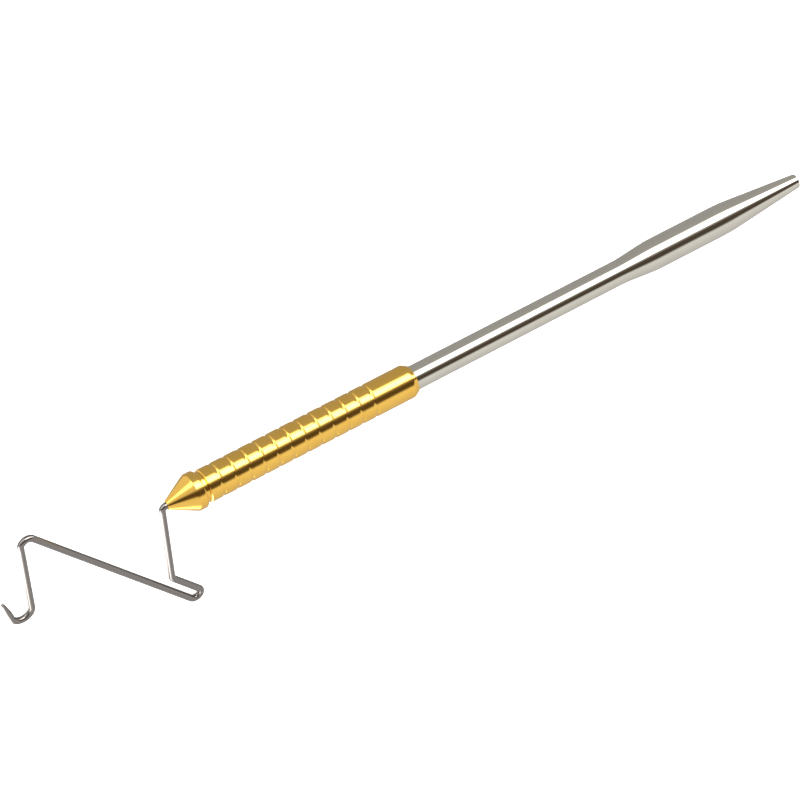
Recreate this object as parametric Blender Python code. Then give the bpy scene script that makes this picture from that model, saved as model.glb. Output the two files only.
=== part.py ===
"""Rotary whip finisher, a fly tyer's knotting tool, as separate turned and bent pieces.

The tool lies on a flat surface. X runs along the handle, with +X towards the hook, +Y is the side that
the wire frame drops to, and +Z is up. Each piece is drawn in tool coordinates, in millimetres: the
nose tip is at x = 0 and the handle runs to negative x. The whole tool then stands centred on the origin.

Held piece:   handle_rod, hook_wire, wire_ferrule, retaining_ring, front_thrust_washer, rear_thrust_washer
Turning grip: grip_barrel, nose_cone, front_bush, rear_bush, all about the handle axis
"""

import math

import bmesh
import bpy
from mathutils import Vector

MM = 0.001

# Facets round the turned pieces and round the wire.
TURNED_SIDES = 36
WIRE_SIDES_QUARTER = 3
DEGREES_PER_BEND_STEP = 15.0

# Clearances.
PRESS_GAP = 0.03
RUNNING_GAP = 0.06
END_FLOAT = 0.08
SEAT_GAP = 0.03
SPINDLE_CLEARANCE = 0.3
WASHER_EDGE_GAP = 0.1
RING_EDGE_GAP = 0.15

# Nose cone: a cone, a bead, a narrow neck, and a spigot pressed into the barrel. The tip's rim stands
# round the wire, the bead rises above the barrel, and the cone's base and the neck are set in.
NOSE_TIP_RIM = 0.115
NOSE_CONE_LENGTH = 4.35
CONE_BASE_STEP = 0.1
BEAD_RISE = 0.35
BEAD_LENGTH = 1.7
BEAD_EDGE = 0.3
NECK_DEPTH = 0.2
NECK_LENGTH = 0.65
SPIGOT_LENGTH = 1.6

# Grip barrel: a plain tube with turned grooves.
BARREL_WALL = 0.65
BARREL_LENGTH = 38.95
BARREL_FRONT_CHAMFER = 0.2
BARREL_REAR_CHAMFER = 0.5
BARREL_REAR_CHAMFER_LENGTH = 0.9
GROOVE_COUNT = 12
GROOVE_PITCH = 2.585
GROOVE_WIDTH = 0.5
GROOVE_DEPTH = 0.2
FIRST_GROOVE_SETBACK = 2.37

# Bushes, washers and the ring that keep the barrel on the spindle.
BUSH_WALL = 0.41
BUSH_LENGTH = 4.0
WASHER_THICKNESS = 0.4
RING_THICKNESS = 0.35
RING_GAP_DEGREES = 60.0
RING_GROOVE_DEPTH = 0.3

# Handle rod: spindle, shank, swell, and the hollow tapered tip for half hitches.
SHANK_DIAMETER = 4.15
SPINDLE_STEP = 0.375
SPINDLE_NOSE_LENGTH = 0.6
REAR_SHOULDER_INSET = 0.5
SHANK_LENGTH = 39.5
FLARE_LENGTH = 8.2
SWELL_DIAMETER = 5.25
SWELL_LENGTH = 13.6
TIP_LENGTH = 14.75
TIP_SHOULDER_LENGTH = 3.6
TIP_DIAMETER = 2.45
HITCH_BORE = 1.3
HITCH_BORE_DEPTH = 10.0

# Hook wire, in its own plane: out of the nose, down the drop, round the notch, along the leg to the
# corner at REACH, and back down into the hook. The notch is a narrow U that holds the thread.
WIRE_DIAMETER = 1.15
WIRE_SOCKET_DEPTH = 9.0
FERRULE_WALL = 0.35
DROP_OFFSET = 0.86
DROP_LENGTH = 17.35
NOTCH_LENGTH = 8.4
NOTCH_WIDTH = 2.15
NOTCH_FLAT = 0.001
LEG_ANGLE = 52.6
REACH = 25.15
HOOK_CENTRE_DROP = 7.05
HOOK_RADIUS = 1.85
HOOK_POINT_LENGTH = 4.4
HOOK_POINT_SPREAD = 14.0
HOOK_POINT_TAPER = 0.45
NOSE_BEND_RADIUS = 0.8
DROP_BEND_RADIUS = 1.0
LEG_BEND_RADIUS = 1.25

# Diameters that fit one inside another, from the spindle outwards.
SPINDLE_DIAMETER = SHANK_DIAMETER - 2 * SPINDLE_STEP
BUSH_BORE = SPINDLE_DIAMETER + 2 * RUNNING_GAP
BUSH_DIAMETER = BUSH_BORE + 2 * BUSH_WALL
BARREL_BORE = BUSH_DIAMETER + 2 * PRESS_GAP
BARREL_DIAMETER = BARREL_BORE + 2 * BARREL_WALL
WASHER_DIAMETER = BARREL_BORE - 2 * WASHER_EDGE_GAP
RING_DIAMETER = BARREL_BORE - 2 * RING_EDGE_GAP
NECK_DIAMETER = BARREL_DIAMETER - 2 * NECK_DEPTH
BEAD_DIAMETER = BARREL_DIAMETER + 2 * BEAD_RISE
CONE_BASE_DIAMETER = BEAD_DIAMETER - 2 * CONE_BASE_STEP
NOSE_BORE = WIRE_DIAMETER + 2 * RUNNING_GAP
NOSE_TIP_DIAMETER = NOSE_BORE + 2 * NOSE_TIP_RIM
FERRULE_BORE = WIRE_DIAMETER + 2 * PRESS_GAP
FERRULE_DIAMETER = FERRULE_BORE + 2 * FERRULE_WALL
SOCKET_DIAMETER = FERRULE_DIAMETER + 2 * PRESS_GAP

# Distances from the nose tip back along the handle that several pieces share.
BEAD_BACK = NOSE_CONE_LENGTH + BEAD_LENGTH
BARREL_FRONT = BEAD_BACK + NECK_LENGTH
BARREL_BACK = BARREL_FRONT + BARREL_LENGTH
SPIGOT_BACK = BARREL_FRONT + SPIGOT_LENGTH
SHOULDER = BARREL_BACK - REAR_SHOULDER_INSET
SHANK_BACK = BARREL_BACK + SHANK_LENGTH
SWELL_FRONT = SHANK_BACK + FLARE_LENGTH
SWELL_BACK = SWELL_FRONT + SWELL_LENGTH
TAIL = SWELL_BACK + TIP_LENGTH
SPINDLE_FRONT = SPIGOT_BACK + SPINDLE_CLEARANCE
RING_FRONT = SPINDLE_FRONT + SPINDLE_NOSE_LENGTH
FRONT_WASHER = RING_FRONT + RING_THICKNESS + SEAT_GAP
FRONT_BUSH = FRONT_WASHER + WASHER_THICKNESS + END_FLOAT
REAR_WASHER = SHOULDER - SEAT_GAP - WASHER_THICKNESS
REAR_BUSH_BACK = REAR_WASHER - END_FLOAT
WIRE_BACK = SPINDLE_FRONT + WIRE_SOCKET_DEPTH


def clear_scene():
    """Remove every object that the file opened with."""
    for old in list(bpy.data.objects):
        bpy.data.objects.remove(old, do_unlink=True)


def metal(name, colour, roughness):
    """Make a plain metal material.

    Args:
        name: the material's name.
        colour: linear red, green and blue.
        roughness: the roughness of the surface, 0 to 1.

    Returns:
        The material.
    """
    material = bpy.data.materials.new(name)
    material.use_nodes = True
    shader = material.node_tree.nodes["Principled BSDF"]
    shader.inputs["Base Color"].default_value = (*colour, 1.0)
    shader.inputs["Metallic"].default_value = 1.0
    shader.inputs["Roughness"].default_value = roughness
    return material


def empty(name, parent=None, location=(0.0, 0.0, 0.0)):
    """Add an empty that carries pieces."""
    holder = bpy.data.objects.new(name, None)
    holder.parent = parent
    holder.location = location
    bpy.context.collection.objects.link(holder)
    return holder


def add_piece(name, data, material, parent):
    """Link a mesh or curve as a named piece under its parent."""
    piece = bpy.data.objects.new(name, data)
    data.materials.append(material)
    piece.parent = parent
    bpy.context.collection.objects.link(piece)
    return piece


def turned(name, outline, material, parent, hollow, sweep=360.0):
    """Turn an outline about the handle axis into one closed piece.

    Args:
        name: the piece's name.
        outline: (distance back from the nose tip, diameter) pairs in millimetres. A hollow piece's
            outline is a loop, and a solid piece's runs from the axis to the axis.
        material: the piece's material.
        parent: the empty that carries it.
        hollow: whether the outline closes on itself.
        sweep: degrees turned, under 360 for a split ring.

    Returns:
        The piece's object.
    """
    work = bmesh.new()
    verts = [work.verts.new((-back * MM, 0.0, -diameter / 2 * MM)) for back, diameter in outline]
    pairs = list(zip(verts, verts[1:]))
    if hollow:
        pairs.append((verts[-1], verts[0]))
    edges = [work.edges.new(pair) for pair in pairs]
    steps = round(TURNED_SIDES * sweep / 360.0)
    geometry = verts + edges
    if sweep < 360.0:
        geometry.append(work.faces.new(verts))
    bmesh.ops.spin(
        work,
        geom=geometry,
        cent=(0.0, 0.0, 0.0),
        axis=(1.0, 0.0, 0.0),
        angle=math.radians(sweep),
        steps=steps,
    )
    bmesh.ops.remove_doubles(work, verts=work.verts[:], dist=1e-7)
    bmesh.ops.recalc_face_normals(work, faces=work.faces[:])
    mesh = bpy.data.meshes.new(name)
    work.to_mesh(mesh)
    work.free()
    mesh.shade_smooth()
    mesh.set_sharp_from_angle(angle=math.radians(30.0))
    return add_piece(name, mesh, material, parent)


def tube_outline(front, back, outer, inner):
    """Return the outline loop of a plain sleeve or washer."""
    return [(front, outer), (back, outer), (back, inner), (front, inner)]


def barrel_outline():
    """Return the grip barrel's loop: a grooved outside, a chamfer at each end and a plain bore."""
    outer = BARREL_DIAMETER
    outline = [
        (BARREL_FRONT, outer - 2 * BARREL_FRONT_CHAMFER),
        (BARREL_FRONT + BARREL_FRONT_CHAMFER, outer),
    ]
    for number in range(GROOVE_COUNT):
        middle = BARREL_FRONT + FIRST_GROOVE_SETBACK + number * GROOVE_PITCH
        outline.append((middle - GROOVE_WIDTH / 2, outer))
        outline.append((middle, outer - 2 * GROOVE_DEPTH))
        outline.append((middle + GROOVE_WIDTH / 2, outer))
    outline.append((BARREL_BACK - BARREL_REAR_CHAMFER_LENGTH, outer))
    outline.append((BARREL_BACK, outer - 2 * BARREL_REAR_CHAMFER))
    outline.append((BARREL_BACK, BARREL_BORE))
    outline.append((BARREL_FRONT, BARREL_BORE))
    return outline


def nose_outline():
    """Return the nose cone's loop, from the rim of its mouth back to the spigot and out by the bore."""
    spigot = BARREL_BORE - 2 * PRESS_GAP
    face = BARREL_FRONT - SEAT_GAP
    return [
        (0.0, NOSE_TIP_DIAMETER),
        (NOSE_CONE_LENGTH, CONE_BASE_DIAMETER),
        (NOSE_CONE_LENGTH + BEAD_EDGE, BEAD_DIAMETER),
        (BEAD_BACK - BEAD_EDGE, BEAD_DIAMETER),
        (BEAD_BACK, BEAD_DIAMETER - 2 * BEAD_EDGE),
        (BEAD_BACK, NECK_DIAMETER),
        (face, NECK_DIAMETER),
        (face, spigot),
        (SPIGOT_BACK, spigot),
        (SPIGOT_BACK, NOSE_BORE),
        (0.0, NOSE_BORE),
    ]


def flare_outline(steps=6):
    """Return the smooth flare between the shank and the swell, without its two ends."""
    growth = SWELL_DIAMETER - SHANK_DIAMETER
    outline = []
    for step in range(1, steps):
        part = step / steps
        ease = part * part * (3 - 2 * part)
        outline.append((SHANK_BACK + FLARE_LENGTH * part, SHANK_DIAMETER + growth * ease))
    return outline


def shoulder_outline(steps=4):
    """Return the round shoulder that leads from the swell into the tapered tip."""
    half = TIP_SHOULDER_LENGTH / 2
    slope = (SWELL_DIAMETER - TIP_DIAMETER) / TIP_LENGTH
    outline = []
    for step in range(steps + 1):
        run = TIP_SHOULDER_LENGTH * step / steps
        outline.append((SWELL_BACK - half + run, SWELL_DIAMETER - slope * run * run / (4 * half)))
    return outline


def rod_outline():
    """Return the handle rod's outline, from the bottom of the wire socket round to the hitch bore."""
    groove = SPINDLE_DIAMETER - 2 * RING_GROOVE_DEPTH
    groove_back = RING_FRONT + RING_THICKNESS + SEAT_GAP
    outline = [
        (WIRE_BACK + PRESS_GAP, 0.0),
        (WIRE_BACK + PRESS_GAP, SOCKET_DIAMETER),
        (SPINDLE_FRONT, SOCKET_DIAMETER),
        (SPINDLE_FRONT, SPINDLE_DIAMETER),
        (RING_FRONT - SEAT_GAP, SPINDLE_DIAMETER),
        (RING_FRONT - SEAT_GAP, groove),
        (groove_back, groove),
        (groove_back, SPINDLE_DIAMETER),
        (SHOULDER, SPINDLE_DIAMETER),
        (SHOULDER, SHANK_DIAMETER),
        (SHANK_BACK, SHANK_DIAMETER),
    ]
    outline += flare_outline()
    outline.append((SWELL_FRONT, SWELL_DIAMETER))
    outline += shoulder_outline()
    outline += [
        (TAIL, TIP_DIAMETER),
        (TAIL, HITCH_BORE),
        (TAIL - HITCH_BORE_DEPTH, HITCH_BORE),
        (TAIL - HITCH_BORE_DEPTH - HITCH_BORE / 2, 0.0),
    ]
    return outline


def bend_points(before, corner, after, radius):
    """Return the points of a round bend that replaces one corner of the wire.

    Args:
        before: the corner before it, in the wire's plane.
        corner: the corner itself.
        after: the corner after it.
        radius: the bend's radius at the wire's centre.

    Returns:
        Points along the bend, first and last on the straight runs.
    """
    into = (corner - before).normalized()
    out = (after - corner).normalized()
    turn = into.angle(out)
    setback = radius * math.tan(turn / 2)
    start = corner - into * setback
    side = 1.0 if into.x * out.y - into.y * out.x > 0 else -1.0
    normal = Vector((-into.y, into.x)) * side
    centre = start + normal * radius
    steps = max(2, math.ceil(math.degrees(turn) / DEGREES_PER_BEND_STEP))
    points = []
    for step in range(steps + 1):
        angle = turn * step / steps
        points.append(centre - normal * radius * math.cos(angle) + into * radius * math.sin(angle))
    return points


def wire_path():
    """Return the wire's centre line in its plane, from inside the handle to the hook's point."""
    leg = Vector((math.cos(math.radians(LEG_ANGLE)), -math.sin(math.radians(LEG_ANGLE))))
    across = Vector((-leg.y, leg.x))
    drop_end = Vector((DROP_OFFSET, DROP_LENGTH))
    notch_inner = drop_end - leg * NOTCH_LENGTH
    notch_outer = notch_inner + across * NOTCH_WIDTH
    leg_end = notch_outer + leg * ((REACH - notch_outer.x) / leg.x)
    hook_centre = Vector((REACH + HOOK_RADIUS, HOOK_CENTRE_DROP))
    hook_sweep = 180.0 - HOOK_POINT_SPREAD

    corners = [
        (Vector((-WIRE_BACK, 0.0)), 0.0),
        (Vector((DROP_OFFSET, 0.0)), NOSE_BEND_RADIUS),
        (drop_end, DROP_BEND_RADIUS),
        (notch_inner, NOTCH_WIDTH / 2 - NOTCH_FLAT),
        (notch_outer, NOTCH_WIDTH / 2 - NOTCH_FLAT),
        (leg_end, LEG_BEND_RADIUS),
        (Vector((REACH, HOOK_CENTRE_DROP)), 0.0),
    ]
    path = [corners[0][0]]
    for before, here, after in zip(corners, corners[1:], corners[2:]):
        path += bend_points(before[0], here[0], after[0], here[1])
    steps = round(hook_sweep / DEGREES_PER_BEND_STEP)
    for step in range(1, steps + 1):
        angle = math.radians(180.0 - hook_sweep * step / steps)
        path.append(hook_centre + Vector((math.cos(angle), math.sin(angle))) * HOOK_RADIUS)
    return path


def wire_spline():
    """Return the wire's points with their radius factors, ending in the hook's tapered point."""
    path = wire_path()
    spread = math.radians(HOOK_POINT_SPREAD)
    heading = Vector((math.sin(spread), -math.cos(spread)))
    spline = [(point, 1.0) for point in path]
    for part, factor in ((0.4, 1.0), (0.8, (1 + HOOK_POINT_TAPER) / 2), (1.0, HOOK_POINT_TAPER)):
        spline.append((path[-1] + heading * HOOK_POINT_LENGTH * part, factor))
    return spline


def make_wire(material, parent):
    """Bend the hook wire as one tube along its centre line."""
    curve = bpy.data.curves.new("hook_wire", "CURVE")
    curve.dimensions = "3D"
    curve.bevel_depth = WIRE_DIAMETER / 2 * MM
    curve.bevel_resolution = WIRE_SIDES_QUARTER - 1
    curve.use_fill_caps = True
    points = wire_spline()
    spline = curve.splines.new("POLY")
    spline.points.add(len(points) - 1)
    for target, (point, factor) in zip(spline.points, points):
        target.co = (point.x * MM, point.y * MM, 0.0, 1.0)
        target.radius = factor
    return add_piece("hook_wire", curve, material, parent)


def wire_plane_roll():
    """Return the turn about the handle that brings the notch down to the surface under the bead."""
    deepest = max(point.y for point in wire_path())
    return -math.asin((BEAD_DIAMETER - WIRE_DIAMETER) / 2 / deepest)


def make_held_pieces(steel, wire_steel, bronze, tool, wire_plane):
    """Make the rod, the wire, and what is fixed to them.

    Args:
        steel: the rod's material.
        wire_steel: the wire's and the retaining ring's material.
        bronze: the ferrule's and the washers' material.
        tool: the empty that carries the turned pieces.
        wire_plane: the empty that carries the wire, in whose XY plane the wire lies.
    """
    turned("handle_rod", rod_outline(), steel, tool, hollow=False)
    make_wire(wire_steel, wire_plane)
    ferrule = tube_outline(SPINDLE_FRONT, WIRE_BACK - SEAT_GAP, FERRULE_DIAMETER, FERRULE_BORE)
    turned("wire_ferrule", ferrule, bronze, tool, hollow=True)
    ring_bore = SPINDLE_DIAMETER - 2 * RING_GROOVE_DEPTH + 2 * PRESS_GAP
    ring = tube_outline(RING_FRONT, RING_FRONT + RING_THICKNESS, RING_DIAMETER, ring_bore)
    turned("retaining_ring", ring, wire_steel, tool, hollow=True, sweep=360.0 - RING_GAP_DEGREES)
    for name, front in (("front_thrust_washer", FRONT_WASHER), ("rear_thrust_washer", REAR_WASHER)):
        washer = tube_outline(front, front + WASHER_THICKNESS, WASHER_DIAMETER, BUSH_BORE)
        turned(name, washer, bronze, tool, hollow=True)


def make_grip_pieces(brass, bronze, grip_axis):
    """Make the pieces that turn together about the handle axis.

    Args:
        brass: the barrel's and the nose cone's material.
        bronze: the bushes' material.
        grip_axis: the empty on the handle axis that carries them.
    """
    turned("grip_barrel", barrel_outline(), brass, grip_axis, hollow=True)
    turned("nose_cone", nose_outline(), brass, grip_axis, hollow=True)
    for name, front in (("front_bush", FRONT_BUSH), ("rear_bush", REAR_BUSH_BACK - BUSH_LENGTH)):
        bush = tube_outline(front, front + BUSH_LENGTH, BUSH_DIAMETER, BUSH_BORE)
        turned(name, bush, bronze, grip_axis, hollow=True)


def stand_on_origin(tool):
    """Move the whole tool so that the origin is at the middle of its box's bottom."""
    bpy.context.view_layer.update()
    depsgraph = bpy.context.evaluated_depsgraph_get()
    corners = []
    for piece in bpy.data.objects:
        if piece.type == "EMPTY":
            continue
        evaluated = piece.evaluated_get(depsgraph)
        mesh = evaluated.to_mesh()
        corners += [piece.matrix_world @ vertex.co for vertex in mesh.vertices]
        evaluated.to_mesh_clear()
    low = Vector([min(corner[axis] for corner in corners) for axis in range(3)])
    high = Vector([max(corner[axis] for corner in corners) for axis in range(3)])
    tool.location = (-(low.x + high.x) / 2, -(low.y + high.y) / 2, -low.z)
    bpy.context.view_layer.update()


def main():
    """Build every piece of the whip finisher."""
    clear_scene()
    brass = metal("polished_brass", (0.79, 0.53, 0.17), 0.15)
    steel = metal("polished_stainless", (0.60, 0.58, 0.54), 0.12)
    wire_steel = metal("spring_wire", (0.50, 0.48, 0.45), 0.22)
    bronze = metal("bush_bronze", (0.52, 0.31, 0.14), 0.35)

    tool = empty("tool_frame")
    wire_plane = empty("wire_plane", parent=tool)
    wire_plane.rotation_euler.x = wire_plane_roll()
    grip_axis = empty("grip_axis", parent=tool)

    make_held_pieces(steel, wire_steel, bronze, tool, wire_plane)
    make_grip_pieces(brass, bronze, grip_axis)
    stand_on_origin(tool)


main()
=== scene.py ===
"""Looks of a rotary whip finisher: fine turned and bent surfaces, metal finishes, floor, light and camera.

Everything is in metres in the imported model's frame. The handle runs along X with the hook at +X, the wire
frame drops to +Y, and Z is up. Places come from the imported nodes' boxes. Sizes in the classes are in
millimetres, and `MM` turns them to metres.
"""

import logging
import math
from dataclasses import dataclass, field
from enum import Enum
from typing import Iterable

import bmesh
import bpy
from mathutils import Matrix, Vector


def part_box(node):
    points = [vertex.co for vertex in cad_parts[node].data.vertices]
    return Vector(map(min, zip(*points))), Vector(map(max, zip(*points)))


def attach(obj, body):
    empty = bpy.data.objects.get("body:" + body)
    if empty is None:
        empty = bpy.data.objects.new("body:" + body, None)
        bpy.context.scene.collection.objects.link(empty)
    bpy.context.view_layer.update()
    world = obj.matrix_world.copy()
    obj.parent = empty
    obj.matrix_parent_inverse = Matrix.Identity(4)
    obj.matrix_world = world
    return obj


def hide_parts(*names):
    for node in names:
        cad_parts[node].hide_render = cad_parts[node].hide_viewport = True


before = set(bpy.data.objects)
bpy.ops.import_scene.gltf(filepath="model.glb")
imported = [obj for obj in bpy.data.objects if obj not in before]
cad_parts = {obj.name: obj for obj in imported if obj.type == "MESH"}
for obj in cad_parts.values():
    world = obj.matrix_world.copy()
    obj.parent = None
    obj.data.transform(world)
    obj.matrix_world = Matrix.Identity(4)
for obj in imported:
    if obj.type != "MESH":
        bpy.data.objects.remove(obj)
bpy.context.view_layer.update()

LOG = logging.getLogger("whip_finisher")
MM = 0.001
MATH = "ShaderNodeMath"

# Points closer than this, in metres, are one point.
WELD = 1e-6
# A point this far beyond each end of a rounded corner, in millimetres, keeps the straight run's shading
# level.
EDGE_HOLD = 0.03
# Clearance drawn between fitted pieces, in millimetres.
FIT_GAP = 0.03

Outline = list[tuple[float, float]]
Bands = tuple[tuple[float, float], ...]


# ---------------------------------------------------------------------------------------------- node helpers


def linear(hex_colour: str) -> tuple[float, float, float, float]:
    """Turn an sRGB hex colour to the linear colour that a shader takes.

    Args:
        hex_colour: six hex digits, with or without a leading #.

    Returns:
        Linear red, green, blue and an alpha of 1.
    """
    digits = hex_colour.lstrip("#")
    channels = [int(digits[i:i + 2], 16) / 255 for i in (0, 2, 4)]
    curve = [c / 12.92 if c <= 0.04045 else ((c + 0.055) / 1.055) ** 2.4 for c in channels]
    return (curve[0], curve[1], curve[2], 1.0)


def add_node(
    tree: bpy.types.NodeTree, kind: str, settings: dict | None = None, *values: object, **inputs: object
) -> bpy.types.Node:
    """Add a node with its settings, and fill or link its inputs.

    Args:
        tree: the tree that gets the node.
        kind: the node's type name.
        settings: the node's own properties.
        values: what the first inputs get, in order.
        inputs: what other inputs get, by name with _ for a space, or in_N for input number N. An input gets
            a value, an output socket to link, or a node whose first output is linked.

    Returns:
        The new node.
    """
    node = tree.nodes.new(kind)
    for key, value in (settings or {}).items():
        setattr(node, key, value)
    numbered = {f"in_{i}": value for i, value in enumerate(values)}
    for key, value in (numbered | inputs).items():
        socket = node.inputs[int(key[3:])] if key.startswith("in_") else node.inputs[key.replace("_", " ")]
        if isinstance(value, bpy.types.Node):
            value = value.outputs[0]
        if isinstance(value, bpy.types.NodeSocket):
            tree.links.new(value, socket)
        else:
            socket.default_value = value
    return node


def new_material(name: str) -> tuple[bpy.types.Material, bpy.types.Node]:
    """Start a node material.

    Args:
        name: the material's name.

    Returns:
        The material and its Principled shader.
    """
    material = bpy.data.materials.new(name)
    material.use_nodes = True
    return material, material.node_tree.nodes["Principled BSDF"]


# -------------------------------------------------------------------------------------------------- finishes


@dataclass(frozen=True)
class TurnedMetal:
    """A bar metal turned on a lathe and then buffed, with fine rings left round the axis.

    The rings are drawn every `ring_mm`, coarser than a real finishing cut of about 0.03 mm, so that they
    still show. They break the reflections into faint bands round the piece.
    """

    name: str
    colour: str
    worn_colour: str
    roughness: float
    roughness_swing: float
    ring_mm: float
    ring_depth_mm: float
    cloud_mm: float
    round_stretch: float = 0.02
    ring_detail: float = 2.0
    cloud_detail: float = 3.0

    def material(self) -> bpy.types.Material:
        """Build the finish as a node material on Object coordinates, with the rings across X."""
        material, shader = new_material(self.name)
        tree = material.node_tree
        place = add_node(tree, "ShaderNodeTexCoord").outputs["Object"]
        stretch = (1.0, self.round_stretch, self.round_stretch)
        across = add_node(tree, "ShaderNodeMapping", in_0=place, Scale=stretch)
        rings = add_node(
            tree, "ShaderNodeTexNoise", Vector=across, Scale=1 / (self.ring_mm * MM), Detail=self.ring_detail
        )
        clouds = add_node(
            tree, "ShaderNodeTexNoise", Vector=place, Scale=1 / (self.cloud_mm * MM), Detail=self.cloud_detail
        )
        tone = add_node(
            tree,
            "ShaderNodeMix",
            {"data_type": "RGBA"},
            in_0=clouds.outputs["Fac"],
            in_6=linear(self.colour),
            in_7=linear(self.worn_colour),
        )
        gloss = add_node(
            tree,
            "ShaderNodeMapRange",
            Value=rings.outputs["Fac"],
            To_Min=self.roughness - self.roughness_swing,
            To_Max=self.roughness + self.roughness_swing,
        )
        bump = add_node(tree, "ShaderNodeBump", Height=rings.outputs["Fac"], Distance=self.ring_depth_mm * MM)
        tree.links.new(tone.outputs["Result"], shader.inputs["Base Color"])
        tree.links.new(gloss.outputs["Result"], shader.inputs["Roughness"])
        tree.links.new(bump.outputs["Normal"], shader.inputs["Normal"])
        shader.inputs["Metallic"].default_value = 1.0
        return material


@dataclass(frozen=True)
class DrawnWire:
    """Bright spring wire pulled through a die, with faint draw lines along its length.

    The lines follow the wire through its bends, so they are read from the wire's own UV map, whose U runs
    round the wire and V along it.
    """

    name: str
    colour: str
    roughness: float
    roughness_swing: float
    lines_round: float
    line_depth_mm: float
    lines_along: float = 0.6
    line_detail: float = 2.0

    def material(self) -> bpy.types.Material:
        """Build the finish as a node material on the wire's UV map."""
        material, shader = new_material(self.name)
        tree = material.node_tree
        place = add_node(tree, "ShaderNodeTexCoord").outputs["UV"]
        stretch = (self.lines_round, self.lines_along, 1.0)
        along = add_node(tree, "ShaderNodeMapping", in_0=place, Scale=stretch)
        lines = add_node(tree, "ShaderNodeTexNoise", Vector=along, Scale=1.0, Detail=self.line_detail)
        gloss = add_node(
            tree,
            "ShaderNodeMapRange",
            Value=lines.outputs["Fac"],
            To_Min=self.roughness - self.roughness_swing,
            To_Max=self.roughness + self.roughness_swing,
        )
        bump = add_node(tree, "ShaderNodeBump", Height=lines.outputs["Fac"], Distance=self.line_depth_mm * MM)
        tree.links.new(gloss.outputs["Result"], shader.inputs["Roughness"])
        tree.links.new(bump.outputs["Normal"], shader.inputs["Normal"])
        shader.inputs["Base Color"].default_value = linear(self.colour)
        shader.inputs["Metallic"].default_value = 1.0
        return material


@dataclass(frozen=True)
class PressedBronze:
    """Oil-filled bronze pressed from powder: matt, warm brown, and peppered with fine pores."""

    name: str
    colour: str
    pore_colour: str
    roughness: float
    pore_mm: float
    pore_depth_mm: float = 0.01
    pore_edge: tuple[float, float] = (0.1, 0.35)

    def material(self) -> bpy.types.Material:
        """Build the finish as a node material on Object coordinates."""
        material, shader = new_material(self.name)
        tree = material.node_tree
        place = add_node(tree, "ShaderNodeTexCoord").outputs["Object"]
        pores = add_node(tree, "ShaderNodeTexVoronoi", Vector=place, Scale=1 / (self.pore_mm * MM))
        start, end = self.pore_edge
        distance = pores.outputs["Distance"]
        edge = add_node(tree, "ShaderNodeMapRange", Value=distance, From_Min=start, From_Max=end)
        tone = add_node(
            tree,
            "ShaderNodeMix",
            {"data_type": "RGBA"},
            in_0=edge.outputs["Result"],
            in_6=linear(self.pore_colour),
            in_7=linear(self.colour),
        )
        depth = self.pore_depth_mm * MM
        bump = add_node(tree, "ShaderNodeBump", Height=edge.outputs["Result"], Distance=depth)
        tree.links.new(tone.outputs["Result"], shader.inputs["Base Color"])
        tree.links.new(bump.outputs["Normal"], shader.inputs["Normal"])
        shader.inputs["Metallic"].default_value = 1.0
        shader.inputs["Roughness"].default_value = self.roughness
        return material


class Finish(Enum):
    """The finishes of the tool's pieces."""

    # Free-cutting brass, buffed after turning: deep yellow, with crisp reflections.
    BRASS = TurnedMetal("buffed_brass", "#FACB66", "#F3BE55", 0.14, 0.03, 0.12, 0.0012, 3.0)
    # Austenitic stainless bar, polished along the lathe: a slightly warm grey mirror.
    STAINLESS = TurnedMetal("polished_stainless", "#D6D1C5", "#CDC8BC", 0.10, 0.025, 0.12, 0.0006, 5.0)
    # Stainless spring wire, bright drawn: greyer and a little duller than the rod.
    WIRE = DrawnWire("bright_spring_wire", "#8C8682", 0.17, 0.04, 14.0, 0.0015)
    # Sintered bronze of the bushes, washers and ferrule.
    BRONZE = PressedBronze("sintered_bronze", "#B07B45", "#4A2E18", 0.38, 0.16)
    # Spring steel of the retaining ring, turned from strip and left bright.
    RING_STEEL = TurnedMetal("ring_spring_steel", "#B9B5AE", "#A9A59E", 0.24, 0.04, 0.08, 0.001, 2.0)


# -------------------------------------------------------------------------------------------- shape generators


def rounded(corners: Iterable[tuple[float, float, float]], steps: int = 5) -> Outline:
    """Round the corners of an outline with arcs.

    Args:
        corners: (distance back, radius from the axis, corner radius) triples in millimetres.
        steps: straight steps in each arc.

    Returns:
        The outline's (distance back, radius) points.
    """
    triples = list(corners)
    outline = [triples[0][:2]]
    for before, here, after in zip(triples, triples[1:], triples[2:]):
        outline += arc_points(Vector(before[:2]), Vector(here[:2]), Vector(after[:2]), here[2], steps)
    outline.append(triples[-1][:2])
    return outline


def arc_points(before: Vector, corner: Vector, after: Vector, radius: float, steps: int) -> Outline:
    """Return the points of the arc that rounds one corner.

    Args:
        before: the corner before it.
        corner: the corner that is rounded.
        after: the corner after it.
        radius: the arc's radius, or 0 for a sharp corner.
        steps: straight steps in the arc.

    Returns:
        The arc's points as (x, y) pairs, or the corner alone. A point close to each end of the arc keeps
        the shading of the straight runs level.
    """
    into = (corner - before).normalized()
    out = (after - corner).normalized()
    turn = into.angle(out)
    if radius <= 0.0 or turn < 0.01:
        return [(corner.x, corner.y)]
    start = corner - into * (radius * math.tan(turn / 2))
    side = 1.0 if into.x * out.y - into.y * out.x > 0 else -1.0
    normal = Vector((-into.y, into.x)) * side
    centre = start + normal * radius
    points = []
    for step in range(steps + 1):
        angle = turn * step / steps
        point = centre - normal * (radius * math.cos(angle)) + into * (radius * math.sin(angle))
        points.append((point.x, point.y))
    held_in = start - into * EDGE_HOLD
    held_out = corner + out * (radius * math.tan(turn / 2) + EDGE_HOLD)
    return [(held_in.x, held_in.y), *points, (held_out.x, held_out.y)]


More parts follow.
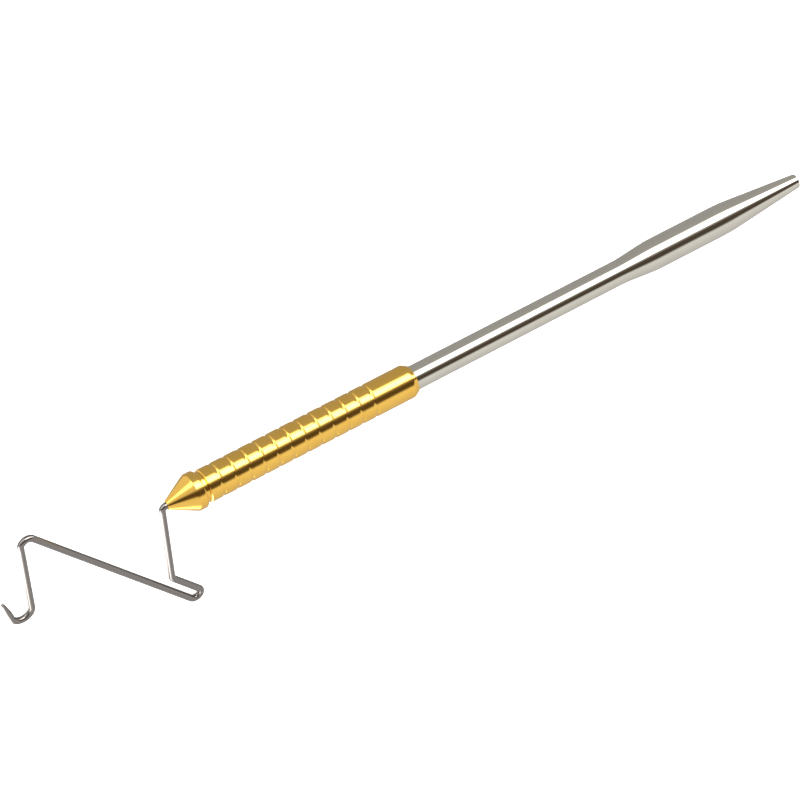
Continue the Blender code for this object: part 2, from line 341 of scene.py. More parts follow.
def tree_with_inputs(
    name: str, sockets: Iterable[tuple[str, str, object]]
) -> tuple[bpy.types.NodeTree, bpy.types.Node]:
    """Start a geometry tree with a geometry input and output and named inputs.

    Args:
        name: the tree's name.
        sockets: (name, socket type, default) of each further input. A default of None is left alone.

    Returns:
        The tree and its Group Input node.
    """
    tree = bpy.data.node_groups.new(name, "GeometryNodeTree")
    tree.interface.new_socket("Geometry", in_out="INPUT", socket_type="NodeSocketGeometry")
    for label, kind, default in sockets:
        socket = tree.interface.new_socket(label, in_out="INPUT", socket_type=kind)
        if default is not None:
            socket.default_value = default
    tree.interface.new_socket("Geometry", in_out="OUTPUT", socket_type="NodeSocketGeometry")
    return tree, tree.nodes.new("NodeGroupInput")


def end_tree(tree: bpy.types.NodeTree, shape: bpy.types.NodeSocket, finish: bpy.types.NodeSocket) -> None:
    """Finish a geometry tree with Realize Instances, Set Material and the group's output.

    Args:
        tree: the geometry tree.
        shape: the finished geometry.
        finish: the material.
    """
    real = add_node(tree, "GeometryNodeRealizeInstances", Geometry=shape)
    dressed = add_node(tree, "GeometryNodeSetMaterial", Geometry=real, Material=finish)
    add_node(tree, "NodeGroupOutput", None, dressed)


def groove_tree() -> bpy.types.NodeTree:
    """Build the tree that turns round-bottomed grooves into an outline's outer stretch.

    The outline's points are at (x, 0, radius). Point by point, the nearest groove's centre is found from
    the first one's place and the pitch, and the radius is reduced by a raised cosine across the width.
    """
    tree, given = tree_with_inputs(
        "turn_grooves",
        [
            ("First Groove X", "NodeSocketFloat", 0.0),
            ("Pitch", "NodeSocketFloat", 0.0026),
            ("Count", "NodeSocketInt", 12),
            ("Width", "NodeSocketFloat", 0.0005),
            ("Depth", "NodeSocketFloat", 0.0002),
            ("Outer Radius", "NodeSocketFloat", 0.0028),
        ],
    )
    first, pitch, count, width, depth, outer = given.outputs[1:7]
    position = add_node(tree, "GeometryNodeInputPosition")
    place = add_node(tree, "ShaderNodeSeparateXYZ", None, position)
    back = add_node(tree, MATH, {"operation": "SUBTRACT"}, first, place.outputs["X"])
    turns = add_node(tree, MATH, {"operation": "DIVIDE"}, back, pitch)
    nearest = add_node(tree, MATH, {"operation": "ROUND"}, turns)
    last = add_node(tree, MATH, {"operation": "SUBTRACT"}, count, 1.0)
    not_before = add_node(tree, MATH, {"operation": "MAXIMUM"}, nearest, 0.0)
    groove = add_node(tree, MATH, {"operation": "MINIMUM"}, not_before, last)
    centre = add_node(tree, MATH, {"operation": "MULTIPLY"}, groove, pitch)
    offset = add_node(tree, MATH, {"operation": "SUBTRACT"}, back, centre)
    away = add_node(tree, MATH, {"operation": "ABSOLUTE"}, offset)
    widths = add_node(tree, MATH, {"operation": "DIVIDE"}, away, width)
    share = add_node(tree, MATH, {"operation": "MINIMUM"}, widths, 0.5)
    phase = add_node(tree, MATH, {"operation": "MULTIPLY"}, share, math.tau)
    wave = add_node(tree, MATH, {"operation": "COSINE"}, phase)
    lifted = add_node(tree, MATH, {"operation": "ADD"}, wave, 1.0)
    halved = add_node(tree, MATH, {"operation": "MULTIPLY"}, lifted, 0.5)
    cut = add_node(tree, MATH, {"operation": "MULTIPLY"}, halved, depth)
    skin = add_node(tree, MATH, {"operation": "COMPARE"}, place.outputs["Z"], outer, WELD)
    on_skin = add_node(tree, MATH, {"operation": "MULTIPLY"}, cut, skin)
    drop = add_node(tree, MATH, {"operation": "MULTIPLY"}, on_skin, -1.0)
    shift = add_node(tree, "ShaderNodeCombineXYZ", Z=drop)
    moved = add_node(tree, "GeometryNodeSetPosition", Geometry=given.outputs["Geometry"], Offset=shift)
    add_node(tree, "NodeGroupOutput", None, moved)
    return tree


def turning_tree() -> bpy.types.NodeTree:
    """Build the tree that turns an outline about the handle axis.

    A grid has a row for each outline point and a column for each step round the axis. Each of its
    points reads its row's outline point and goes round by its column's angle. The seam and the points
    on the axis are then merged.
    """
    tree, given = tree_with_inputs(
        "turn_outline",
        [
            ("Sides", "NodeSocketInt", 96),
            ("Axis Y", "NodeSocketFloat", 0.0),
            ("Axis Z", "NodeSocketFloat", 0.0),
            ("Finish", "NodeSocketMaterial", None),
        ],
    )
    outline = given.outputs["Geometry"]
    sides = given.outputs["Sides"]
    rows = add_node(tree, "GeometryNodeAttributeDomainSize", {"component": "MESH"}, Geometry=outline)
    columns = add_node(tree, MATH, {"operation": "ADD"}, sides, 1.0)
    grid = add_node(
        tree, "GeometryNodeMeshGrid", Vertices_X=rows.outputs["Point Count"], Vertices_Y=columns
    )
    index = add_node(tree, "GeometryNodeInputIndex")
    middle = add_node(tree, MATH, {"operation": "ADD"}, index, 0.5)
    row_share = add_node(tree, MATH, {"operation": "DIVIDE"}, middle, columns)
    row = add_node(tree, MATH, {"operation": "FLOOR"}, row_share)
    row_start = add_node(tree, MATH, {"operation": "MULTIPLY"}, row, columns)
    column = add_node(tree, MATH, {"operation": "SUBTRACT"}, index, row_start)
    turn_share = add_node(tree, MATH, {"operation": "DIVIDE"}, column, sides)
    angle = add_node(tree, MATH, {"operation": "MULTIPLY"}, turn_share, math.tau)
    spot = add_node(
        tree,
        "GeometryNodeSampleIndex",
        {"data_type": "FLOAT_VECTOR", "domain": "POINT"},
        Geometry=outline,
        Value=add_node(tree, "GeometryNodeInputPosition"),
        Index=row,
    )
    flat = add_node(tree, "ShaderNodeSeparateXYZ", None, spot)
    sine = add_node(tree, MATH, {"operation": "SINE"}, angle)
    cosine = add_node(tree, MATH, {"operation": "COSINE"}, angle)
    across = add_node(tree, MATH, {"operation": "MULTIPLY"}, flat.outputs["Z"], sine)
    upright = add_node(tree, MATH, {"operation": "MULTIPLY"}, flat.outputs["Z"], cosine)
    placed = add_node(
        tree,
        "ShaderNodeCombineXYZ",
        X=flat.outputs["X"],
        Y=add_node(tree, MATH, {"operation": "ADD"}, given.outputs["Axis Y"], across),
        Z=add_node(tree, MATH, {"operation": "SUBTRACT"}, given.outputs["Axis Z"], upright),
    )
    turned = add_node(tree, "GeometryNodeSetPosition", Geometry=grid.outputs["Mesh"], Position=placed)
    closed = add_node(tree, "GeometryNodeMergeByDistance", Geometry=turned, Distance=WELD)
    end_tree(tree, closed.outputs[0], given.outputs["Finish"])
    return tree


def wire_tree() -> bpy.types.NodeTree:
    """Build the tree that sweeps a round section along the wire's centre line.

    The line's points carry a thickness factor, which draws the end down to its point. The way round the
    section and the length along the line, in millimetres, are kept as the UV map that the draw lines follow.
    """
    tree, given = tree_with_inputs(
        "sweep_wire",
        [
            ("Wire Radius", "NodeSocketFloat", 0.0006),
            ("Sides", "NodeSocketInt", 32),
            ("Finish", "NodeSocketMaterial", None),
        ],
    )
    line = add_node(tree, "GeometryNodeMeshToCurve", Mesh=given.outputs["Geometry"])
    factor = add_node(tree, "GeometryNodeInputNamedAttribute", {"data_type": "FLOAT"}, Name="thickness")
    thick = add_node(tree, "GeometryNodeSetCurveRadius", Curve=line, Radius=factor)
    length = add_node(tree, "GeometryNodeSplineParameter")
    kept = add_node(
        tree,
        "GeometryNodeStoreNamedAttribute",
        {"data_type": "FLOAT", "domain": "POINT"},
        Geometry=thick,
        Name="along",
        Value=add_node(tree, MATH, {"operation": "MULTIPLY"}, length.outputs["Length"], 1 / MM),
    )
    ring = add_node(
        tree,
        "GeometryNodeCurvePrimitiveCircle",
        Resolution=given.outputs["Sides"],
        Radius=given.outputs["Wire Radius"],
    )
    turn = add_node(tree, "GeometryNodeSplineParameter")
    marked = add_node(
        tree,
        "GeometryNodeStoreNamedAttribute",
        {"data_type": "FLOAT", "domain": "POINT"},
        Geometry=ring,
        Name="round",
        Value=turn.outputs["Factor"],
    )
    tube = add_node(
        tree,
        "GeometryNodeCurveToMesh",
        Curve=kept,
        Profile_Curve=marked,
        Scale=factor,
        Fill_Caps=True,
    )
    along = add_node(tree, "GeometryNodeInputNamedAttribute", {"data_type": "FLOAT"}, Name="along")
    around = add_node(tree, "GeometryNodeInputNamedAttribute", {"data_type": "FLOAT"}, Name="round")
    map_place = add_node(tree, "ShaderNodeCombineXYZ", X=around, Y=along)
    mapped = add_node(
        tree,
        "GeometryNodeStoreNamedAttribute",
        {"data_type": "FLOAT2", "domain": "CORNER"},
        Geometry=tube,
        Name="UVMap",
        Value=map_place,
    )
    end_tree(tree, mapped.outputs[0], given.outputs["Finish"])
    return tree


def line_object(name: str, points: Iterable[Vector], thickness: Iterable[float] = ()) -> bpy.types.Object:
    """Make a mesh that is one open line of points.

    Args:
        name: the object's name.
        points: the points in metres.
        thickness: a factor for each point, kept as an attribute, or nothing.

    Returns:
        The object, linked to the scene.
    """
    places = list(points)
    mesh = bpy.data.meshes.new(name)
    mesh.from_pydata(places, [(i, i + 1) for i in range(len(places) - 1)], [])
    factors = list(thickness)
    if factors:
        mesh.attributes.new("thickness", "FLOAT", "POINT").data.foreach_set("value", factors)
    piece = bpy.data.objects.new(name, mesh)
    bpy.context.collection.objects.link(piece)
    return piece


def add_tree(piece: bpy.types.Object, tree: bpy.types.NodeTree, values: dict[str, object]) -> None:
    """Put a geometry tree on a piece and set its inputs by their identifiers.

    Args:
        piece: the object.
        tree: the geometry tree.
        values: input values by name.
    """
    modifier = piece.modifiers.new(tree.name, "NODES")
    modifier.node_group = tree
    identifiers = {
        item.name: item.identifier
        for item in tree.interface.items_tree
        if item.item_type == "SOCKET" and item.in_out == "INPUT"
    }
    for label, value in values.items():
        modifier[identifiers[label]] = value


def bake(piece: bpy.types.Object, sharp_degrees: float) -> bpy.types.Object:
    """Turn a piece's modifiers into a plain mesh with outward faces.

    Args:
        piece: the object with its modifiers.
        sharp_degrees: edges that turn more than this stay sharp.

    Returns:
        The same object with its final mesh.
    """
    depsgraph = bpy.context.evaluated_depsgraph_get()
    mesh = bpy.data.meshes.new_from_object(piece.evaluated_get(depsgraph))
    piece.modifiers.clear()
    work = bmesh.new()
    work.from_mesh(mesh)
    bmesh.ops.recalc_face_normals(work, faces=work.faces[:])
    work.to_mesh(mesh)
    work.free()
    mesh.shade_smooth()
    mesh.set_sharp_from_angle(angle=math.radians(sharp_degrees))
    mesh.name = piece.name
    old = piece.data
    piece.data = mesh
    bpy.data.meshes.remove(old)
    return piece


# ---------------------------------------------------------------------------------------------- sub-assemblies


@dataclass
class HandleAxis:
    """The line that every turned piece shares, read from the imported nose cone."""

    nose_x: float = field(init=False)
    y: float = field(init=False)
    z: float = field(init=False)

    def __post_init__(self) -> None:
        """Read the nose tip and the middle of the cone's box."""
        low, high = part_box("nose_cone")
        self.nose_x = high[0]
        self.y = (low[1] + high[1]) / 2
        self.z = (low[2] + high[2]) / 2

    def back_of(self, node: str) -> tuple[float, float]:
        """Return where a node starts and ends along the handle.

        Args:
            node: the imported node's name.

        Returns:
            Its front and back as distances back from the nose tip, in millimetres.
        """
        low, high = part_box(node)
        return (self.nose_x - high[0]) / MM, (self.nose_x - low[0]) / MM

    def place(self, outline: Outline) -> list[Vector]:
        """Return an outline's points as (x, 0, radius) in metres."""
        return [Vector((self.nose_x - back * MM, 0.0, radius * MM)) for back, radius in outline]


class Lathe:
    """Turns outlines about the handle axis."""

    def __init__(self, axis: HandleAxis, sides: int = 96, sharp_degrees: float = 40.0) -> None:
        """Keep the axis and build the two trees.

        Args:
            axis: the handle axis.
            sides: facets round each piece.
            sharp_degrees: edges that turn more than this stay sharp.
        """
        self.axis = axis
        self.sides = sides
        self.sharp_degrees = sharp_degrees
        self.turning = turning_tree()
        self.grooving = groove_tree()

    def turn(
        self,
        name: str,
        outline: Outline,
        material: bpy.types.Material,
        grooves: dict[str, object] | None = None,
    ) -> bpy.types.Object:
        """Turn an outline into a piece.

        Args:
            name: the piece's name.
            outline: its (distance back, radius) points in millimetres.
            material: its finish.
            grooves: the groove tree's inputs, or None for a plain piece.

        Returns:
            The baked piece.
        """
        piece = line_object(name, self.axis.place(outline))
        if grooves:
            add_tree(piece, self.grooving, grooves)
        values = {"Sides": self.sides, "Axis Y": self.axis.y, "Axis Z": self.axis.z, "Finish": material}
        add_tree(piece, self.turning, values)
        return bake(piece, self.sharp_degrees)


@dataclass
class Grip:
    """The brass grip: a grooved barrel and the nose cone pressed into it. Sizes in millimetres."""

    lathe: Lathe
    barrel_radius: float = 2.85
    barrel_bore: float = 2.2
    bore_edge_round: float = 0.04
    front_chamfer: float = 0.2
    front_edge_round: float = 0.06
    front_chamfer_round: float = 0.1
    rear_chamfer: float = 0.5
    rear_chamfer_length: float = 0.9
    rear_crown_round: float = 0.8
    rear_edge_round: float = 0.08
    land_start: float = 0.2
    bore_hold: float = 0.3
    groove_count: int = 12
    groove_pitch: float = 2.585
    groove_width: float = 0.9
    groove_depth: float = 0.13
    first_groove: float = 2.37
    rows_per_pitch: int = 20
    row_crowding: float = 0.75
    tip_radius: float = 0.75
    tip_round: float = 0.04
    cone_length: float = 4.35
    cone_base_radius: float = 3.1
    cone_base_round: float = 0.25
    bead_rise_length: float = 0.25
    bead_radius: float = 3.2
    bead_length: float = 1.7
    bead_front_round: float = 0.3
    bead_back_round: float = 0.45
    neck_radius: float = 2.65
    neck_round: float = 0.1
    spigot_radius: float = 2.17
    spigot_shoulder_round: float = 0.05
    spigot_end_round: float = 0.1
    wire_bore: float = 0.635

    def build(self) -> None:
        """Make both pieces and let them ride on the grip's body."""
        brass = Finish.BRASS.value.material()
        for node, piece in (("grip_barrel", self.barrel(brass)), ("nose_cone", self.cone(brass))):
            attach(piece, "grip")
            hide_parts(node)
            LOG.info("%s: %d faces", piece.name, len(piece.data.polygons))

    def groove_rows(self, front: float) -> Outline:
        """Return the barrel's outer rows over its grooves, crowded together near each groove.

        Args:
            front: the barrel's front face, in millimetres back from the nose tip.

        Returns:
            (distance back, radius) points.
        """
        rows = []
        start = -self.rows_per_pitch // 2
        end = self.rows_per_pitch * self.groove_count - self.rows_per_pitch // 2
        for step in range(start, end):
            turns = step / self.rows_per_pitch
            crowded = turns - self.row_crowding / math.tau * math.sin(math.tau * turns)
            rows.append((front + self.first_groove + crowded * self.groove_pitch, self.barrel_radius))
        return rows

    def barrel(self, brass: bpy.types.Material) -> bpy.types.Object:
        """Turn the grip barrel: chamfered front, grooves, plain rear land and a bore right through.

        Args:
            brass: its finish.

        Returns:
            The baked barrel.
        """
        front, back = self.lathe.axis.back_of("grip_barrel")
        outer, bore = self.barrel_radius, self.barrel_bore
        rows = self.groove_rows(front)
        entry = rounded(
            [
                (front, bore, 0),
                (front, outer - self.front_chamfer, self.front_edge_round),
                (front + self.front_chamfer, outer, self.front_chamfer_round),
                (rows[0][0], outer, 0),
            ]
        )
        rear = rounded(
            [
                (rows[-1][0] + self.land_start, outer, 0),
                (back - self.rear_chamfer_length, outer, self.rear_crown_round),
                (back, outer - self.rear_chamfer, self.rear_edge_round),
                (back, bore, self.bore_edge_round),
                (back - self.bore_hold, bore, 0),
                (front, bore, 0),
            ],
            steps=6,
        )
        grooves = {
            "First Groove X": self.lathe.axis.nose_x - (front + self.first_groove) * MM,
            "Pitch": self.groove_pitch * MM,
            "Count": self.groove_count,
            "Width": self.groove_width * MM,
            "Depth": self.groove_depth * MM,
            "Outer Radius": outer * MM,
        }
        return self.lathe.turn("grooved_grip_barrel", entry[:-1] + rows + rear, brass, grooves)

    def cone(self, brass: bpy.types.Material) -> bpy.types.Object:
        """Turn the nose cone with its bead, neck and spigot.

        Args:
            brass: its finish.

        Returns:
            The baked cone.
        """
        front, back = self.lathe.axis.back_of("nose_cone")
        barrel_front = self.lathe.axis.back_of("grip_barrel")[0]
        bead_back = self.cone_length + self.bead_length
        face = barrel_front - FIT_GAP
        outline = rounded(
            [
                (front, self.wire_bore, 0),
                (front, self.tip_radius, self.tip_round),
                (self.cone_length, self.cone_base_radius, self.cone_base_round),
                (self.cone_length + self.bead_rise_length, self.bead_radius, self.bead_front_round),
                (bead_back, self.bead_radius, self.bead_back_round),
                (bead_back, self.neck_radius, self.neck_round),
                (face, self.neck_radius, self.spigot_shoulder_round),
                (face, self.spigot_radius, 0),
                (back, self.spigot_radius, self.spigot_end_round),
                (back, self.wire_bore, 0),
                (front, self.wire_bore, 0),
            ]
        )
        return self.lathe.turn("beaded_nose_cone", outline, brass)


@dataclass
class HandleRod:
    """The stainless rod: spindle, shank, swell and hollow tapered tip. Sizes in millimetres."""

    lathe: Lathe
    spindle_radius: float = 1.7
    shank_radius: float = 2.075
    swell_radius: float = 2.625
    tip_radius: float = 1.225
    spindle_edge_round: float = 0.1
    ring_groove_depth: float = 0.3
    socket_end_gap: float = 0.06
    shoulder_inset: float = 0.5
    shoulder_round: float = 0.1
    shank_length: float = 39.5
    flare_length: float = 8.2
    swell_length: float = 13.6
    tip_shoulder_length: float = 3.6
    tip_land: float = 1.0
    tip_round: float = 0.15
    hitch_radius: float = 0.65
    hitch_depth: float = 10.0
    hitch_edge_round: float = 0.08
    flare_steps: int = 24
    shoulder_steps: int = 14

    def build(self) -> None:
        """Make the rod and let it ride on its body."""
        piece = self.lathe.turn("turned_handle_rod", self.outline(), Finish.STAINLESS.value.material())
        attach(piece, "rod_and_wire")
        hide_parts("handle_rod")
        LOG.info("%s: %d faces", piece.name, len(piece.data.polygons))

    def outline(self) -> Outline:
        """Return the rod's outline from the spindle's socket to the bottom of the hitch bore.

        Returns:
            (distance back, radius) points.
        """
        axis = self.lathe.axis
        front, tail = axis.back_of("handle_rod")
        barrel_back = axis.back_of("grip_barrel")[1]
        shoulder = barrel_back - self.shoulder_inset
        shank_back = barrel_back + self.shank_length
        swell_front = shank_back + self.flare_length
        swell_back = swell_front + self.swell_length
        groove_front, groove_back = axis.back_of("retaining_ring")
        socket_front, socket_back = axis.back_of("wire_ferrule")
        socket_end = socket_back + self.socket_end_gap
        ferrule_low, ferrule_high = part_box("wire_ferrule")
        socket = (ferrule_high[1] - ferrule_low[1]) / 2 / MM + FIT_GAP
        groove = self.spindle_radius - self.ring_groove_depth
        outline = rounded(
            [
                (socket_end, 0.0, 0),
                (socket_end, socket, 0),
                (socket_front, socket, 0),
                (front, self.spindle_radius, self.spindle_edge_round),
                (groove_front - FIT_GAP, self.spindle_radius, 0),
                (groove_front - FIT_GAP, groove, 0),
                (groove_back + FIT_GAP, groove, 0),
                (groove_back + FIT_GAP, self.spindle_radius, 0),
                (shoulder, self.spindle_radius, 0),
                (shoulder, self.shank_radius, self.shoulder_round),
                (shank_back, self.shank_radius, 0),
            ],
            steps=3,
        )
        growth = self.swell_radius - self.shank_radius
        for step in range(1, self.flare_steps + 1):
            part = step / self.flare_steps
            ease = part * part * (3 - 2 * part)
            outline.append((shank_back + self.flare_length * part, self.shank_radius + growth * ease))
        half = self.tip_shoulder_length / 2
        slope = (self.swell_radius - self.tip_radius) / (tail - swell_back)
        for step in range(self.shoulder_steps + 1):
            run = self.tip_shoulder_length * step / self.shoulder_steps
            outline.append((swell_back - half + run, self.swell_radius - slope * run * run / (4 * half)))
        bore_end = tail - self.hitch_depth
        outline += rounded(
            [
                (tail - self.tip_land, self.tip_radius + slope * self.tip_land, 0),
                (tail, self.tip_radius, self.tip_round),
                (tail, self.hitch_radius, self.hitch_edge_round),
                (bore_end, self.hitch_radius, 0),
                (bore_end - self.hitch_radius, 0.0, 0),
            ],
            steps=6,
        )
        return outline


@dataclass
class WireFrame:
    """The bent hook wire, in a plane that is rolled about the handle axis. Sizes in millimetres."""

    axis: HandleAxis
    radius: float = 0.575
    drop_offset: float = 0.86
    drop_length: float = 17.35
    notch_length: float = 8.4
    notch_width: float = 2.15
    leg_degrees: float = 52.6
    reach: float = 25.15
    hook_centre: float = 7.05
    hook_radius: float = 1.85
    point_length: float = 4.4
    point_spread: float = 14.0
    nose_bend: float = 0.8
    drop_bend: float = 1.0
    leg_bend: float = 1.25
    bend_steps: int = 14
    point_steps: int = 24
    sides: int = 40
    sharp_degrees: float = 60.0
    notch_floor: float = 0.001
    tip_crowding: float = 1.6
    taper_start: float = 0.35
    taper_share: float = 0.5
    blunt_start: float = 0.93
    least_thickness: float = 0.03

    def build(self) -> None:
        """Sweep the wire and let it ride with the rod."""
        line, factors = self.centre_line()
        roll = Matrix.Rotation(self.roll(line), 3, "X")
        start = Vector((self.axis.nose_x, self.axis.y, self.axis.z))
        points = [start + roll @ Vector((point.x * MM, point.y * MM, 0.0)) for point in line]
        piece = line_object("bent_hook_wire", points, factors)
        finish = Finish.WIRE.value.material()
        values = {"Wire Radius": self.radius * MM, "Sides": self.sides, "Finish": finish}
        add_tree(piece, wire_tree(), values)
        bake(piece, self.sharp_degrees)
        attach(piece, "rod_and_wire")
        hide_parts("hook_wire")
        LOG.info("%s: %d faces", piece.name, len(piece.data.polygons))

    def roll(self, line: list[Vector]) -> float:
        """Work out how far the wire's plane is rolled.

        Args:
            line: the wire's centre line in its plane.

        Returns:
            The turn about the handle, in radians, that brings the notch down to the surface.
        """
        deepest = max(point.y for point in line)
        return -math.asin((self.axis.z / MM - self.radius) / deepest)

    def centre_line(self) -> tuple[list[Vector], list[float]]:
        """Lay out the wire's centre line in its plane.

        Returns:
            The line's points in millimetres, and a thickness factor for each.
        """
        angle = math.radians(self.leg_degrees)
        leg = Vector((math.cos(angle), -math.sin(angle)))
        across = Vector((-leg.y, leg.x))
        drop_end = Vector((self.drop_offset, self.drop_length))
        notch_inner = drop_end - leg * self.notch_length
        notch_outer = notch_inner + across * self.notch_width
        leg_end = notch_outer + leg * ((self.reach - notch_outer.x) / leg.x)
        turn = (self.notch_width - 2 * self.notch_floor) / 2
        wire_back = self.axis.back_of("hook_wire")[1]
        corners = [
            (Vector((-wire_back, 0.0)), 0.0),
            (Vector((self.drop_offset, 0.0)), self.nose_bend),
            (drop_end, self.drop_bend),
            (notch_inner, turn),
            (notch_outer, turn),
            (leg_end, self.leg_bend),
            (Vector((self.reach, self.hook_centre)), 0.0),
        ]
        path = [corners[0][0]]
        for before, here, after in zip(corners, corners[1:], corners[2:]):
            bend = arc_points(before[0], here[0], after[0], here[1], self.bend_steps)
            path += [Vector(point) for point in bend]
        path += self.hook()
        factors = [1.0] * len(path)
        for place, factor in self.point(path[-1]):
            path.append(place)
            factors.append(factor)
        return path, factors

    def hook(self) -> list[Vector]:
        """Return the points round the hook's bowl."""
        centre = Vector((self.reach + self.hook_radius, self.hook_centre))
        sweep = 180.0 - self.point_spread
        steps = 2 * self.bend_steps
        turns = [math.radians(180.0 - sweep * step / steps) for step in range(1, steps + 1)]
        return [centre + Vector((math.cos(turn), math.sin(turn))) * self.hook_radius for turn in turns]

    def point(self, start: Vector) -> list[tuple[Vector, float]]:
        """Return the points of the hook's ground point, each with its thickness factor.

        Args:
            start: where the bowl ends.

        Returns:
            Points up to the tip. The first stretch keeps its thickness, the rest tapers, and the tip is
            round.
        """
        spread = math.radians(self.point_spread)
        heading = Vector((math.sin(spread), -math.cos(spread)))
        tapered = []
        for step in range(1, self.point_steps + 1):
            part = 1.0 - (1.0 - step / self.point_steps) ** self.tip_crowding
            shrink = max(0.0, part - self.taper_start) / (1.0 - self.taper_start)
            rounding = max(0.0, (part - self.blunt_start) / (1.0 - self.blunt_start))
            blunt = math.sqrt(max(0.0, 1.0 - rounding**2))
            factor = max(self.least_thickness, (1.0 - self.taper_share * shrink) * blunt)
            tapered.append((start + heading * self.point_length * part, factor))
        return tapered


@dataclass
class SpindleFittings:
    """The bushes, washers, ferrule and ring inside the barrel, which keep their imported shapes."""

    bronze_nodes: tuple[str, ...] = (
        "front_bush",
        "rear_bush",
        "front_thrust_washer",
        "rear_thrust_washer",
        "wire_ferrule",
    )
    ring_node: str = "retaining_ring"

    def build(self) -> None:
        """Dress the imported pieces."""
        bronze = Finish.BRONZE.value.material()
        for node in self.bronze_nodes:
            self.dress(node, bronze)
        self.dress(self.ring_node, Finish.RING_STEEL.value.material())

    def dress(self, node: str, material: bpy.types.Material) -> None:
        """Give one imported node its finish.

        Args:
            node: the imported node's name.
            material: the finish.
        """
        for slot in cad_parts[node].material_slots:
            slot.material = material
        LOG.info("%s: dressed", node)


# -------------------------------------------------------------------------------------------------- the studio


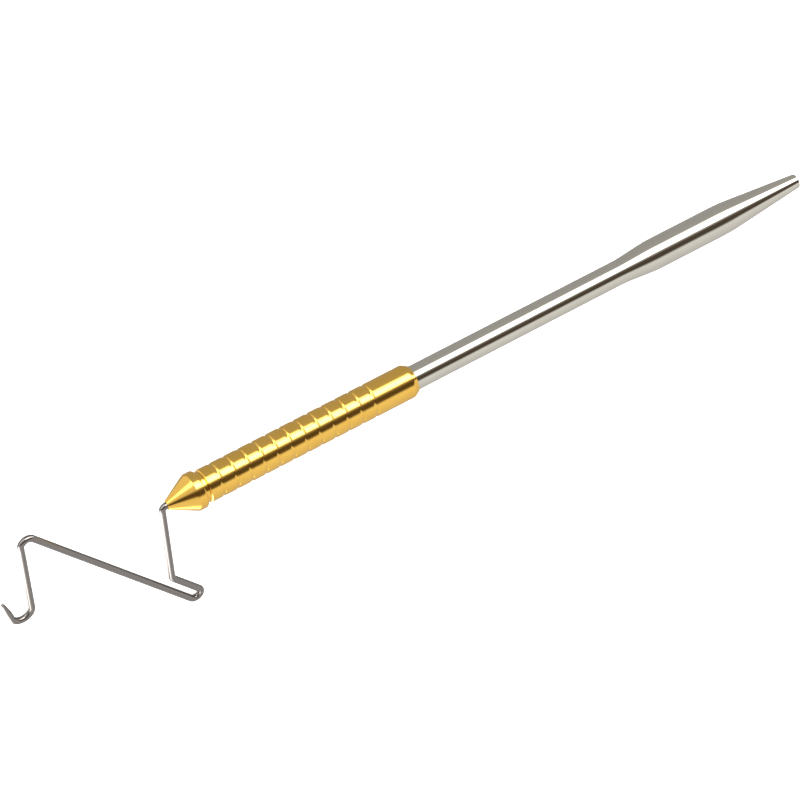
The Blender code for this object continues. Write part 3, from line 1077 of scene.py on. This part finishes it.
@dataclass
class Studio:
    """A pale glowing floor, a soft tent, a soft box off the hook's end, and the camera.

    The tent is pale cloth with a dark flag above the tool, a strip of bright cloth in front of it, and grey
    beneath. Its bands are (degrees about the handle, level) pairs: 0 is level at the back, 90 is above,
    180 is level in front and 270 is beneath. The hook's end of the tent has levels of its own.
    """

    azimuth: float = 25.58
    elevation: float = 40.70
    roll: float = 135.31
    distance: float = 0.6403
    lens: float = 180.0
    sensor_width: float = 36.0
    clip: tuple[float, float] = (0.01, 20.0)
    look_at: tuple[float, float, float] = (0.00277, -0.00511, 0.0032)
    floor_size: float = 3.0
    floor_roughness: float = 0.9
    tent_level: float = 2.0
    dark_level: float = 0.1
    dark_tint: tuple[float, float, float] = (1.0, 0.78, 0.55)
    key_size: tuple[float, float] = (1.0, 0.9)
    key_place: tuple[float, float, float] = (0.75, 0.62, -0.05)
    key_watts: float = 6.0
    hook_edge: tuple[float, float] = (0.06, 0.20)
    side_bands: Bands = (
        (0.0, 0.35),
        (84.0, 0.5),
        (98.0, 0.05),
        (124.0, 0.05),
        (138.0, 0.3),
        (146.0, 3.0),
        (166.0, 3.0),
        (184.0, 0.25),
        (300.0, 0.22),
        (360.0, 0.35),
    )
    hook_bands: Bands = (
        (0.0, 2.0),
        (36.0, 0.45),
        (84.0, 0.45),
        (98.0, 0.05),
        (124.0, 0.05),
        (140.0, 0.4),
        (168.0, 0.45),
        (182.0, 1.9),
        (206.0, 0.45),
        (300.0, 0.45),
        (346.0, 2.0),
    )

    def build(self) -> None:
        """Make the floor, the lights and the camera."""
        self.floor()
        self.surroundings()
        self.soft_box()
        self.camera()
        bpy.context.scene.view_settings.view_transform = "Standard"

    def floor(self) -> None:
        """Lay a white light table under the tool.

        It glows evenly, so that no shadow falls on it. Reflections don't see it, so the metal mirrors the
        tent all round.
        """
        material, shader = new_material("light_table_opal")
        shader.inputs["Base Color"].default_value = linear("#F7F7F5")
        shader.inputs["Roughness"].default_value = self.floor_roughness
        shader.inputs["Specular IOR Level"].default_value = 0.0
        shader.inputs["Emission Color"].default_value = linear("#FFFFFF")
        shader.inputs["Emission Strength"].default_value = 1.0
        half = self.floor_size / 2
        mesh = bpy.data.meshes.new("floor")
        corners = [(-half, -half, 0.0), (half, -half, 0.0), (half, half, 0.0), (-half, half, 0.0)]
        mesh.from_pydata(corners, [], [(0, 1, 2, 3)])
        mesh.materials.append(material)
        sheet = bpy.data.objects.new("floor", mesh)
        sheet.visible_glossy = False
        bpy.context.collection.objects.link(sheet)

    def surroundings(self) -> None:
        """Set the tent round the tool: bands that run along the handle, mixed towards the hook's end."""
        world = bpy.data.worlds.new("studio_tent")
        bpy.context.scene.world = world
        world.use_nodes = True
        tree = world.node_tree
        toward = add_node(tree, "ShaderNodeTexCoord").outputs["Generated"]
        parts = add_node(tree, "ShaderNodeSeparateXYZ", None, toward)
        angle = add_node(tree, MATH, {"operation": "ARCTAN2"}, parts.outputs["Z"], parts.outputs["Y"])
        turns = add_node(tree, MATH, {"operation": "DIVIDE"}, angle, math.tau)
        turn = add_node(tree, MATH, {"operation": "FRACT"}, turns)
        start, end = self.hook_edge
        share = add_node(
            tree,
            "ShaderNodeMapRange",
            {"interpolation_type": "SMOOTHSTEP"},
            Value=parts.outputs["X"],
            From_Min=start,
            From_Max=end,
        )
        light = add_node(
            tree,
            "ShaderNodeMix",
            {"data_type": "RGBA"},
            in_0=share.outputs["Result"],
            in_6=self.band_ramp(tree, turn.outputs[0], self.side_bands),
            in_7=self.band_ramp(tree, turn.outputs[0], self.hook_bands),
        )
        tree.links.new(light.outputs["Result"], tree.nodes["Background"].inputs["Color"])
        tree.nodes["Background"].inputs["Strength"].default_value = self.tent_level

    def band_ramp(
        self, tree: bpy.types.NodeTree, turn: bpy.types.NodeSocket, bands: Bands
    ) -> bpy.types.NodeSocket:
        """Add a ramp of grey bands. Those darker than `dark_level` are warmed by `dark_tint`.

        Args:
            tree: the world's tree.
            turn: the angle about the handle as a share of a full turn.
            bands: (degrees, level) pairs.

        Returns:
            The ramp's colour.
        """
        ramp = add_node(tree, "ShaderNodeValToRGB", in_0=turn)
        stops = ramp.color_ramp.elements
        while len(stops) < len(bands):
            stops.new(0.5)
        for stop, (degrees, level) in zip(stops, bands):
            stop.position = degrees / 360.0
            tint = self.dark_tint if level < self.dark_level else (1.0, 1.0, 1.0)
            stop.color = (*(level * share for share in tint), 1.0)
        return ramp.outputs["Color"]

    def soft_box(self) -> None:
        """Stand a large soft box off the hook's end, behind the tool, centred just below the table's level."""
        light = bpy.data.lights.new("key_soft_box", "AREA")
        light.shape = "RECTANGLE"
        light.size, light.size_y = self.key_size
        light.energy = self.key_watts
        lamp = bpy.data.objects.new("key_soft_box", light)
        lamp.location = self.key_place
        lamp.rotation_euler = Vector(self.key_place).to_track_quat("Z", "Y").to_euler()
        bpy.context.collection.objects.link(lamp)

    def camera(self) -> None:
        """Aim a long lens at the tool."""
        data = bpy.data.cameras.new("camera")
        data.lens = self.lens
        data.sensor_width = self.sensor_width
        data.clip_start, data.clip_end = self.clip
        turn, rise, roll = (math.radians(angle) for angle in (self.azimuth, self.elevation, self.roll))
        away = Vector((math.sin(turn) * math.cos(rise), -math.cos(turn) * math.cos(rise), math.sin(rise)))
        viewer = bpy.data.objects.new("camera", data)
        viewer.location = Vector(self.look_at) + away * self.distance
        level = away.to_track_quat("Z", "Y").to_matrix()
        viewer.rotation_euler = (level @ Matrix.Rotation(roll, 3, "Z")).to_euler()
        bpy.context.collection.objects.link(viewer)
        bpy.context.scene.camera = viewer


# ------------------------------------------------------------------------------------------------------- main


def main() -> None:
    """Build the studio and each sub-assembly in order."""
    logging.basicConfig(level=logging.INFO, format="%(name)s: %(message)s")
    Studio().build()
    axis = HandleAxis()
    lathe = Lathe(axis)
    for assembly in (HandleRod(lathe), WireFrame(axis), Grip(lathe), SpindleFittings()):
        assembly.build()


if __name__ == "__main__":
    main()
